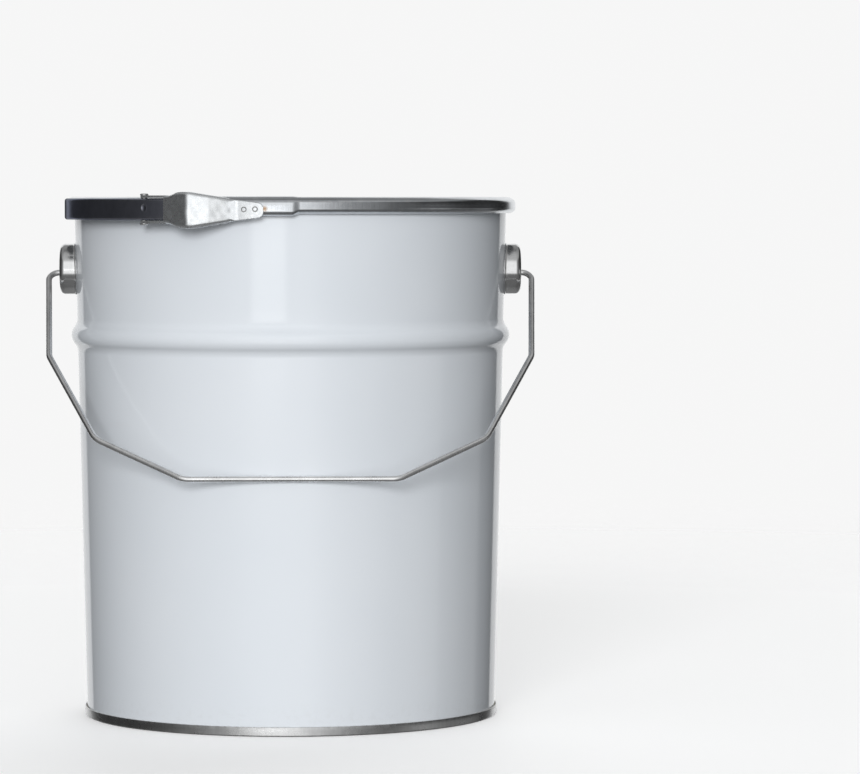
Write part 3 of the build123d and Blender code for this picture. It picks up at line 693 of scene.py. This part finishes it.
# ---------------------------------------------------------------- wire handle
bail_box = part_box("bail_wire")
U_MAX = bail_box[1].x / MM
SWING = rad(47.791)
PTS = [(161.0, 0.0), (157.8, 80.0), (125.7, 155.5), (68.7, 192.0)]
RADII = [7.0, 12.0, 14.0, 14.0]
half = [(151.8, 0.0)] + PTS
pts2 = half + [(-u, r) for u, r in reversed(half)]
radii = [None] + RADII + RADII[::-1] + [None]
path = [np.array(pts2[0])]
for i in range(1, len(pts2) - 1):
    a, b, c = (np.array(pts2[k], float) for k in (i - 1, i, i + 1))
    d0, d1 = (b - a) / np.linalg.norm(b - a), (c - b) / np.linalg.norm(c - b)
    turn = math.acos(max(-1, min(1, float(d0 @ d1))))
    t = radii[i] * math.tan(turn / 2)
    bis = (d1 - d0) / np.linalg.norm(d1 - d0)
    ctr = b + bis * radii[i] / math.cos(turn / 2)
    p0, p1 = b - d0 * t, b + d1 * t
    last = path[-1]
    L = np.linalg.norm(p0 - last)
    for f in np.linspace(0, 1, max(2, int(L / 6)) + 1)[1:]:
        path.append(last + (p0 - last) * f)
    s0 = math.atan2(*(p0 - ctr)[::-1])
    s1 = math.atan2(*(p1 - ctr)[::-1])
    ds = (s1 - s0 + math.pi) % (2 * math.pi) - math.pi
    for f in np.linspace(0, 1, max(3, int(abs(math.degrees(ds)) / 4)) + 1)[1:]:
        path.append(ctr + radii[i] * np.array([math.cos(s0 + ds * f), math.sin(s0 + ds * f)]))
last = path[-1]
for f in np.linspace(0, 1, 4)[1:]:
    path.append(last + (np.array(pts2[-1]) - last) * f)
path = np.array(path)
world = np.stack([path[:, 0], -path[:, 1] * math.sin(SWING), BZ - path[:, 1] * math.cos(SWING)], 1)
plane_n = np.array([0.0, -math.cos(SWING), math.sin(SWING)])
tang = np.gradient(world, axis=0)
tang /= np.linalg.norm(tang, axis=1)[:, None]
secs = []
for p, t in zip(world, tang):
    side = np.cross(t, plane_n)
    secs.append([p + 1.985 * (math.cos(a) * side + math.sin(a) * plane_n) for a in np.linspace(0, 2 * math.pi, 25)[:-1]])
curv = np.zeros(len(world))
for i in range(1, len(world) - 1):
    curv[i] = 1.0 - float(tang[i - 1] @ tang[i + 1])
w = np.tile(np.clip(curv * 18, 0, 0.6)[:, None], (1, 24))
bail = strip("Bail", secs, 40.0, w.ravel())
heads = []
for s in (1, -1):
    prof_h = [(0, 150.6), (3.35, 150.6), (3.6, 150.72), (3.75, 151.0), (3.75, 151.8), (3.6, 152.08), (3.35, 152.2), (0, 152.2)]
    P = np.array([[(s * x, r * math.sin(f), BZ + r * math.cos(f)) for r, x in prof_h] for f in np.linspace(0, 2 * math.pi, 41)[:-1]])
    h = put("h", P.reshape(-1, 3), grid(P, True, False), 35.0, np.full(P.shape[0] * P.shape[1], 0.3))
    boolean(bail, h, "UNION")
bm = bmesh.new()
bm.from_mesh(bail.data)
bmesh.ops.remove_doubles(bm, verts=bm.verts, dist=2e-6)
bmesh.ops.dissolve_degenerate(bm, dist=1e-6, edges=bm.edges)
bmesh.ops.holes_fill(bm, edges=[e for e in bm.edges if e.is_boundary], sides=8)
bmesh.ops.recalc_face_normals(bm, faces=bm.faces)
bm.to_mesh(bail.data)
bm.free()
finish_mesh(bail, 40.0)
piece(bail, "bail", ["bail_wire"], M_WIRE)

# ---------------------------------------------------------------- lever
LZ0, LZ1, LT, LR = 330.0, 344.0, 1.0, 150.8
AZ_TAIL, AZ_WEB = 76.6, 25.5
RC = 1.8


def lever_r(a, r=LR):
    b = 8.1 * math.cos(rad(a))
    return b + math.sqrt(b * b - (8.1 ** 2 - r * r))


DIM = (36.6, 338.0)         # the plain dimple pressed in the lever: azimuth and height


def lever_section(a):
    ro = lever_r(a) + 0.30 * smooth((a - 74.6) / 2.0)      # the tail is lipped out a little
    ri = min(150.4 + 0.30 * smooth((a - 74.6) / 2.0), ro - RC)
    o = line((ri, LZ1), (ro - RC, LZ1), 4)[:-1] + arc_n((ro - RC, LZ1 - RC), RC, 90, 0, 8)
    o += line((ro, LZ1 - RC), (ro, LZ0 + RC), 34)[1:-1] + arc_n((ro - RC, LZ0 + RC), RC, 0, -90, 8)
    o += line((ro - RC, LZ0), (ri, LZ0), 4)[1:]
    k = RC - LT
    i = line((ri, LZ0 + LT), (ro - RC, LZ0 + LT), 4)[:-1] + arc_n((ro - RC, LZ0 + RC), k, -90, 0, 8)
    i += line((ro - LT, LZ0 + RC), (ro - LT, LZ1 - RC), 34)[1:-1] + arc_n((ro - RC, LZ1 - RC), k, 0, 90, 8)
    i += line((ro - RC, LZ1 - LT), (ri, LZ1 - LT), 4)[1:]
    s = np.array(o + i)
    da = (a - DIM[0]) * math.pi / 180 * 155.0
    dz = s[:, 1] - DIM[1]
    q = (da / 2.0) ** 2 + (dz / 2.3) ** 2
    push = 0.55 * np.clip(1 - q, 0, 1) ** 1.2 - 0.06 * np.exp(-((np.sqrt(q) - 1.15) / 0.22) ** 2)
    web = s[:, 0] > ro - LT - 0.01
    s[:, 0] -= np.where(web & (np.abs(dz) < 4.5), push, 0)
    return s


la = list(np.linspace(AZ_WEB, 35.0, 20)) + list(np.linspace(35.1, 38.1, 41)) + list(np.linspace(38.5, 74.0, 72)) + list(np.linspace(74.2, AZ_TAIL, 16))
secs, lever_wear_and_highlight = [], []
for a in la:
    s = lever_section(a)
    secs.append([(-r * math.sin(rad(a)), -r * math.cos(rad(a)), z) for r, z in s])
    wv = profile_wear(s)
    q = np.sqrt(((a - DIM[0]) * math.pi / 180 * 155.0 / 2.0) ** 2 + ((s[:, 1] - DIM[1]) / 2.3) ** 2)
    # a lighter ring along the dimple's rim goes into the wear values: this is a painted highlight
    wv = np.maximum(wv, np.exp(-((q - 1.0) / 0.16) ** 2) * (s[:, 0] > 140))
    lever_wear_and_highlight.append(np.maximum(wv * 0.8, 0.8 * math.exp(-abs(a - AZ_TAIL) / 0.25)))
lever = strip("Lever", secs, 38.0, np.array(lever_wear_and_highlight).ravel())
for z0, z1 in ((LZ0, LZ0 + LT), (LZ1 - LT, LZ1)):
    pts = [az(150.4, a) for a in np.linspace(26.6, 25.0, 4)]
    u = np.array(P1)
    start = math.atan2(pts[-1][1] - u[1], pts[-1][0] - u[0])
    outp = az(lever_r(25.6) - 0.25, 25.6)
    end = math.atan2(outp[1] - u[1], outp[0] - u[0])
    sweep = (end - start) % (2 * math.pi)
    if sweep < math.pi:
        pass
    circle = [(u[0] + 3.6 * math.cos(start + sweep * f), u[1] + 3.6 * math.sin(start + sweep * f)) for f in np.linspace(0.06, 0.92, 24)]
    pts = pts[:-1] + circle + [az(lever_r(26.2) - 0.3, 26.2), az(lever_r(26.6) - 0.3, 26.6)]
    co, fc = prism(pts, [], z0 + 0.01, z1 - 0.01)
    boolean(lever, put("e", co, fc, 30.0), "UNION")
for p in (P1, P2):
    ring = [(p[0] + 2.08 * math.cos(f), p[1] + 2.08 * math.sin(f)) for f in np.linspace(0, 2 * math.pi, 41)[:-1]]
    co, fc = prism(ring, [], 325.0, 350.0)
    boolean(lever, put("c", co, fc, 30.0), "DIFFERENCE")
finish_mesh(lever, 38.0)
piece(lever, "lever", ["closure_lever"], M_LEVER)

# ---------------------------------------------------------------- bracket: pressed dome, tongue and two side plates
A, B, C = (-66.1, -150.3), (-80.0, -138.3), (-52.0, -150.3)
RT = 152.17
FOOT = az(RT, 13.0)
TB = 1.2


def rounded(pts, rr):
    out = [np.array(pts[0], float)]
    for i in range(1, len(pts) - 1):
        a, b, c = (np.array(pts[k], float) for k in (i - 1, i, i + 1))
        d0, d1 = (b - a) / np.linalg.norm(b - a), (c - b) / np.linalg.norm(c - b)
        turn = math.acos(max(-1, min(1, float(d0 @ d1))))
        if turn < 1e-3:
            out.append(b)
            continue
        t = rr[i] * math.tan(turn / 2)
        bis = (d1 - d0) / np.linalg.norm(d1 - d0)
        ctr = b + bis * rr[i] / math.cos(turn / 2)
        p0, p1 = b - d0 * t, b + d1 * t
        s0 = math.atan2(p0[1] - ctr[1], p0[0] - ctr[0])
        s1 = math.atan2(p1[1] - ctr[1], p1[0] - ctr[0])
        ds = (s1 - s0 + math.pi) % (2 * math.pi) - math.pi
        for f in np.linspace(0, 1, 12):
            out.append(ctr + rr[i] * np.array([math.cos(s0 + ds * f), math.sin(s0 + ds * f)]))
    out.append(np.array(pts[-1], float))
    return out


def resample(pts, step):
    out = [pts[0]]
    for p, q in zip(pts[:-1], pts[1:]):
        L = np.linalg.norm(q - p)
        k = max(1, int(L / step))
        for f in np.linspace(0, 1, k + 1)[1:]:
            out.append(p + (q - p) * f)
    return out


tip_az = math.degrees(math.asin(17.5 / RT))
plan = rounded([(-81.0, B[1] + 0.863), A, C, FOOT, az(RT, 12.0)], [0, 5.0, 12.0, 8.0, 0])
plan = plan[:-1] + [np.array(az(RT, a)) for a in np.linspace(11.9, tip_az, 26)]
plan = np.array(resample(plan, 0.55))
HX = [-81.0, -77.5, -73.5, -70.0, -63.0, -40.5, -36.8, -32.0, -30.0, -20.5, -18.9, -18.0, -17.5]
HH = [8.9, 9.2, 11.3, 11.7, 11.7, 8.2, 6.9, 6.35, 6.15, 4.9, 4.3, 3.4, 2.4]


def heights(x):
    # a light running average rounds the corners of the outline
    xs = [x + d for d in (-1.4, -0.7, 0, 0.7, 1.4)] if x < -24 else [x]
    return float(np.mean([np.interp(v, HX, HH) for v in xs]))


dome_secs, dome_w = [], []
tg = np.gradient(plan, axis=0)
tg /= np.linalg.norm(tg, axis=1)[:, None]
for p, t in zip(plan, tg):
    nrm = np.array([t[1], -t[0]])
    if nrm @ p < 0:
        nrm = -nrm
    x = float(p[0])
    h = heights(x)
    h = min(h, 348.30 - (336.3 + 0.7 * max(0.0, (-60 - x) / 21.0))) if x < -60 else h
    k = smooth((-34.6 - x) / 5.0)                       # 1 on the dome, 0 on the tongue
    zc_ = (336.3 + 0.7 * max(0.0, (-60 - x) / 21.0)) * k + 336.4 * (1 - k)
    rc = min(2.8 * k + 0.55 * (1 - k), h - 0.6)
    # the wall reaches in to the clear radius on the dome
    b = float(p @ nrm)
    disc = b * b - (float(p @ p) - 151.35 ** 2)
    d = b - math.sqrt(disc) if disc > 0 else TB
    d = max(TB, d) * k + TB * (1 - k)
    d = max(d, TB + 1e-3)
    ti = 1.2 * k + 0.12 * (1 - k)
    ri = max(rc - TB, 0.0) * k
    crown = 0.35 * k * smooth((x + 79) / 6.0)            # the pressed face is very slightly crowned
    o = line((d, h), (rc, h), 5)[:-1] + arc_n((rc, h - rc), rc, 90, 180, 9)
    o += line((0, h - rc), (0, -(h - rc)), 22)[1:-1] + arc_n((rc, -(h - rc)), rc, 180, 270, 9) + line((rc, -h), (d, -h), 5)[1:]
    c0 = min(TB + ri, d)
    i = line((d, -(h - ti)), (c0, -(h - ti)), 5)[:-1] + arc_n((c0, -(h - ti - ri)), ri, 270, 180, 9)
    i += line((TB, -(h - ti - ri)), (TB, h - ti - ri), 22)[1:-1] + arc_n((c0, h - ti - ri), ri, 180, 90, 9) + line((c0, h - ti), (d, h - ti), 5)[1:]
    s = np.array(o + i)
    s[:, 0] = np.maximum(s[:, 0], 0)
    bow = crown * np.clip((s[:, 1] / h) ** 2, 0, 1)
    s[:, 0] += bow * (s[:, 0] < TB + 0.3)
    # a shallow pressed mark where the dome meets the tongue
    mark = 0.14 * np.exp(-(((x + 37.8) / 1.3) ** 2)) * np.exp(-((s[:, 1] / 1.6) ** 2))
    s[:, 0] += mark * (s[:, 0] < TB + 0.4)
    wob = 0.06 * k * (math.sin(x * 0.41 + 0.6) * np.cos(s[:, 1] * 0.33 + 0.4) + 0.6 * math.sin(x * 0.93 + 2.0) * np.sin(s[:, 1] * 0.61 + x * 0.2))
    s[:, 0] += (wob + 0.12 * k) * (s[:, 0] < TB + 0.4) * np.clip((h - np.abs(s[:, 1])) / 2.5, 0, 1)
    # the outline is cut square to the front, so its height goes by where each point really is
    sec = []
    for q, v in s:
        xw = float(p[0] - nrm[0] * q)
        hw = heights(xw) if k > 0.5 else h
        zw = (336.3 + 0.7 * max(0.0, (-60 - xw) / 21.0)) * k + 336.4 * (1 - k)
        hw = min(hw, 348.30 - zw)
        sec.append((xw, p[1] - nrm[1] * q, zw + v * min(1.0, hw / h)))
    dome_secs.append(sec)
    wv = np.zeros(len(s))
    wv[:] = 0.25 * np.exp(-((np.abs(s[:, 1]) - (h - 0.8)) / 0.9) ** 2)
    wv = np.maximum(wv, 0.9 * np.exp(-((d - s[:, 0]) / 0.5) ** 2) * (np.abs(s[:, 1]) > h - 2))
    dome_w.append(wv)
bracket = strip("Bracket", dome_secs, 32.0, np.array(dome_w).ravel())
for z0, z1 in ((328.1, 329.6), (344.4, 345.88)):
    u = np.array(P2)
    pts = [az(150.25, a) for a in np.linspace(29.0, 36.2, 10)]
    s0 = math.radians(math.degrees(math.atan2(-u[1], -u[0])))          # towards the pail's centre
    for f in np.linspace(0.10, 0.97, 26):
        ang = s0 - math.pi * f
        pts.append((u[0] + 4.35 * math.cos(ang), u[1] + 4.35 * math.sin(ang)))
    pts += [az(157.93, a) for a in np.linspace(37.0, 30.4, 9)] + [az(157.95, 29.4)]
    hole = [(u[0] + 2.03 * math.cos(f), u[1] + 2.03 * math.sin(f)) for f in np.linspace(0, 2 * math.pi, 33)[:-1]]
    co, fc = prism(pts, [hole], z0, z1)
    boolean(bracket, put("p", co, fc, 30.0), "UNION")
finish_mesh(bracket, 32.0)
piece(bracket, "bracket", ["closure_bracket"], M_BRACKET)

# spot welds on the tongue: a raised ring round a dished middle
spots = [(-29.6, 337.0), (-22.5, 337.2)]
sc = []
co, fc, wv = [], [], []
for x, z in spots:
    a = math.degrees(math.asin(-x / 152.17))
    c = np.array([*az(1.0, a), 0.0])
    tv = np.array([c[1], -c[0], 0.0])
    up = np.array([0, 0, 1.0])
    o = c * 152.17 + np.array([0, 0, z])
    sc.append(tuple((o * MM).tolist()))
    prof_s = [(0.0, -0.28), (0.6, -0.26), (1.0, -0.12), (1.25, 0.10), (1.55, 0.16), (1.78, 0.06), (1.85, -0.12), (1.85, -0.9), (0.0, -0.9)]
    P = np.array([[o + c * hgt + r * (math.cos(f) * tv + math.sin(f) * up) for r, hgt in prof_s] for f in np.linspace(0, 2 * math.pi, 33)[:-1]])
    base_i = len(co)
    co += list(P.reshape(-1, 3))
    fc += grid(P, True, False, base_i)
    wv += [0.0, 0.0, 0.1, 0.7, 0.9, 0.5, 0.2, 0.0, 0.0] * 32
M_WELD = weld_metal("weld_tongue", sc)
welds = put("BracketSpotWelds", co, fc, 30.0, wv)
piece(welds, "bracket", ["bracket_spot_welds"], M_WELD)


# ---------------------------------------------------------------- rivets
def rivet(name, p, z0, z1, head_r, head_h):
    pr = [(0, z0 - head_h)] + arc((head_r - 0.9, z0 - head_h + 0.9), 0.9, 270, 360, 15) + [(head_r, z0), (2.0, z0), (2.0, z1), (head_r, z1)] \
        + arc((head_r - 0.9, z1 + head_h - 0.9), 0.9, 0, 90, 15) + [(0, z1 + head_h)]
    P = np.array([[(p[0] + r * math.cos(f), p[1] + r * math.sin(f), z) for r, z in pr] for f in np.linspace(0, 2 * math.pi, 49)[:-1]])
    return put(name, P.reshape(-1, 3), grid(P, True, False), 30.0, np.tile(np.clip(profile_wear(pr), 0, 1), 48))


piece(rivet("LeverPivotRivet", P1, 329.8, 344.2, 3.1, 1.0), "ring", ["lever_pivot_rivet"], M_RIVET)
piece(rivet("LinkRivet", P2, 328.08, 345.92, 2.7, 1.2), "bracket", ["link_rivet"], M_RIVET)

# ---------------------------------------------------------------- carried-over CAD pieces keep their mesh and get a finish
for node, slot_name, mat in (("hinge_lug", "latch_steel", M_LATCH), ("lug_spot_welds", "weld", weld_metal("weld_lug", []))):
    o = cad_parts[node]
    if not o.data.materials:
        o.data.materials.append(mat)
    for i in range(len(o.data.materials)):
        o.data.materials[i] = mat

# ---------------------------------------------------------------- stage: floor, pale backdrop and studio light
def stage_mesh(name, co, faces, mat):
    me = bpy.data.meshes.new(name)
    me.from_pydata(co, [], faces)
    me.materials.append(mat)
    ob = bpy.data.objects.new(name, me)
    bpy.context.scene.collection.objects.link(ob)
    return ob


FLOOR_R = 2.4
mf, nt, b = shader("pale_floor")
n = Net(nt)
b.inputs["Base Color"].default_value = (0.86, 0.86, 0.86, 1)
b.inputs["Roughness"].default_value = 0.6
b.inputs["Specular IOR Level"].default_value = 0.15
col = n.mix(n.noise(3.0, 2.0, 0.5), (0.855, 0.855, 0.855), (0.875, 0.875, 0.875))
n.link(col, b.inputs["Base Color"])
tr = nt.nodes.new("ShaderNodeBsdfTransparent")
mixs = nt.nodes.new("ShaderNodeMixShader")
v = nt.nodes.new("ShaderNodeVectorMath")
v.operation = "LENGTH"
n.link(n.obj, v.inputs[0])
fade = n.ramp(n.math("DIVIDE", v.outputs["Value"], FLOOR_R), [(0.25, 0.0), (0.9, 1.0)], "EASE")
n.link(fade, mixs.inputs[0])
n.link(b.outputs[0], mixs.inputs[1])
n.link(tr.outputs[0], mixs.inputs[2])
n.link(mixs.outputs[0], nt.nodes["Material Output"].inputs["Surface"])
b.inputs["Emission Color"].default_value = (1, 1, 1, 1)
b.inputs["Emission Strength"].default_value = 0.29
ring_pts = [(FLOOR_R * math.cos(f), FLOOR_R * math.sin(f), 0.0) for f in np.linspace(0, 2 * math.pi, 97)[:-1]]
floor = stage_mesh("Floor", ring_pts, [tuple(range(96))], mf)
floor.visible_glossy = False
floor.visible_diffuse = False

BACK = 0.925
mb, nt, b = shader("pale_backdrop")
em = nt.nodes.new("ShaderNodeEmission")
em.inputs["Color"].default_value = (1, 1, 1, 1)
em.inputs["Strength"].default_value = BACK
nt.links.new(em.outputs[0], nt.nodes["Material Output"].inputs["Surface"])
co, fc = [], []
NS = 48
for i in range(25):
    e = math.pi * i / 24 - math.pi / 2
    for j in range(NS):
        t = 2 * math.pi * j / NS
        co.append((14 * math.cos(e) * math.cos(t), 14 * math.cos(e) * math.sin(t), 14 * math.sin(e)))
for i in range(24):
    for j in range(NS):
        fc.append((i * NS + j, i * NS + (j + 1) % NS, (i + 1) * NS + (j + 1) % NS, (i + 1) * NS + j))
back = stage_mesh("Backdrop", co, fc, mb)
back.visible_diffuse = back.visible_glossy = back.visible_transmission = back.visible_shadow = back.visible_volume_scatter = False

# soft studio light: bright in front and above, pale floor light from below, dark to the sides, white behind
w = bpy.data.worlds.new("studio")
bpy.context.scene.world = w
w.use_nodes = True
nt = w.node_tree
n = Net(nt)
n.obj = nt.nodes.new("ShaderNodeTexCoord").outputs["Generated"]
x_, y_, z_ = n.xyz()
azim = n.math("ARCTAN2", x_, n.math("MULTIPLY", y_, -1.0))
t_az = n.math("ADD", n.math("DIVIDE", azim, 2 * math.pi), 0.5)
el = n.math("ARCSINE", n.math("MAXIMUM", n.math("MINIMUM", z_, 1.0), -1.0))
t_el = n.math("ADD", n.math("DIVIDE", el, math.pi), 0.5)
S = 4.0


def a_ramp(stops):
    return n.ramp(t_az, [((a + 180) / 360.0, v_ / S) for a, v_ in stops])


def e_ramp(stops):
    return n.ramp(t_el, [((a + 90) / 180.0, v_) for a, v_ in stops])


HORIZON = [(-180, 1.0), (-151, 1.0), (-148, 0.08), (-125, 0.05), (-100, 0.05), (-80, 0.08), (-66, 0.12), (-50, 0.26), (-35, 0.50), (-22, 1.0), (-12, 1.22),
           (8, 1.24), (13, 1.05), (19, 0.66), (33, 0.33), (45, 0.25), (53, 0.16), (69, 0.09), (88.4, 0.065), (89.4, 0.035), (112, 0.035), (126, 0.045), (127.5, 0.03),
           (149, 0.03), (151.5, 1.0), (180, 1.0)]
UPPER = [(-180, 0.35), (-130, 0.28), (-90, 0.32), (-50, 0.50), (0, 0.62), (45, 0.50), (90, 0.40), (130, 0.28), (180, 0.35)]
LOWER = [(-180, 0.25), (-110, 0.14), (-60, 0.15), (0, 0.18), (60, 0.14), (110, 0.13), (180, 0.25)]
mid = n.math("MULTIPLY", a_ramp(HORIZON), e_ramp([(-25, 0.0), (-19, 1.0), (32, 1.0), (42, 0.0)]))
upp = n.math("MULTIPLY", a_ramp(UPPER), e_ramp([(32, 0.0), (42, 1.0), (70, 0.9), (90, 0.6)]))
low = n.math("MULTIPLY", a_ramp(LOWER), e_ramp([(-40, 1.0), (-25, 1.0), (-19, 0.0)]))
cards = n.math("MULTIPLY", n.ramp(t_az, [((a + 180) / 360.0, v_) for a, v_ in ((58, 0.0), (74, 1.0), (88.8, 1.0), (89.8, 0.45), (112, 0.45), (125.6, 0.55), (127.0, 0.0))]),
               e_ramp([(-15, 0.0), (-12, 1.0), (-4.2, 1.0), (-3.0, 0.0)]))
key = n.math("MULTIPLY", n.ramp(t_az, [((-22 + 180) / 360, 0.0), ((-19 + 180) / 360, 1.0), ((-4 + 180) / 360, 1.0), ((-1 + 180) / 360, 0.0)]),
             e_ramp([(-4.7, 0.0), (-4.2, 1.0), (-2.2, 1.0), (-1.2, 0.0)]))
total = n.math("MULTIPLY", n.math("ADD", n.math("ADD", mid, upp), n.math("ADD", low, n.math("ADD", n.math("MULTIPLY", cards, 0.50 / S), n.math("MULTIPLY", key, 1.9 / S)))), S)
bg = nt.nodes["Background"]
n.link(total, bg.inputs["Strength"])
bg.inputs["Color"].default_value = (0.985, 0.995, 1.0, 1)

# a soft lamp from the front, a little to the left: it shades the paint and stays out of the reflections
lamp_data = bpy.data.lights.new("FrontLamp", "SUN")
lamp_data.energy = 1.66
lamp_data.angle = rad(22.0)
lamp = bpy.data.objects.new("FrontLamp", lamp_data)
bpy.context.scene.collection.objects.link(lamp)
lamp.rotation_euler = (rad(90.0 - 15.5), 0.0, rad(-10.0))
lamp.visible_glossy = False

# a weaker one from behind and above, so that the back isn't left in the dark
fill_data = bpy.data.lights.new("BackLamp", "SUN")
fill_data.energy = 0.75
fill_data.angle = rad(40.0)
fill = bpy.data.objects.new("BackLamp", fill_data)
bpy.context.scene.collection.objects.link(fill)
fill.rotation_euler = (rad(90.0 - 48.0), 0.0, rad(165.0))
fill.visible_glossy = False

# ---------------------------------------------------------------- camera: level with the ring, at the viewing angle asked for
ZOOM = 0.945
cam_data = bpy.data.cameras.new("Camera")
cam = bpy.data.objects.new("Camera", cam_data)
bpy.context.scene.collection.objects.link(cam)
F_PX = 4600.0 * ZOOM
cam_data.sensor_width = 36.0
cam_data.lens = 36.0 * F_PX / 860.0
cam_data.clip_start, cam_data.clip_end = 0.05, 100.0
AXIS_X, HORIZON_Y = (290.7, 196.8)
cam.location = (0.0, -2.905, TOP_Z * MM)
yaw = math.atan((430.0 - AXIS_X) / F_PX)
pitch = math.atan((387.0 - HORIZON_Y) / F_PX)
cam.rotation_euler = (math.pi / 2 - pitch, 0.0, -yaw)
bpy.context.scene.camera = cam
vs = bpy.context.scene.view_settings
vs.view_transform = "Standard"
vs.look = "None"
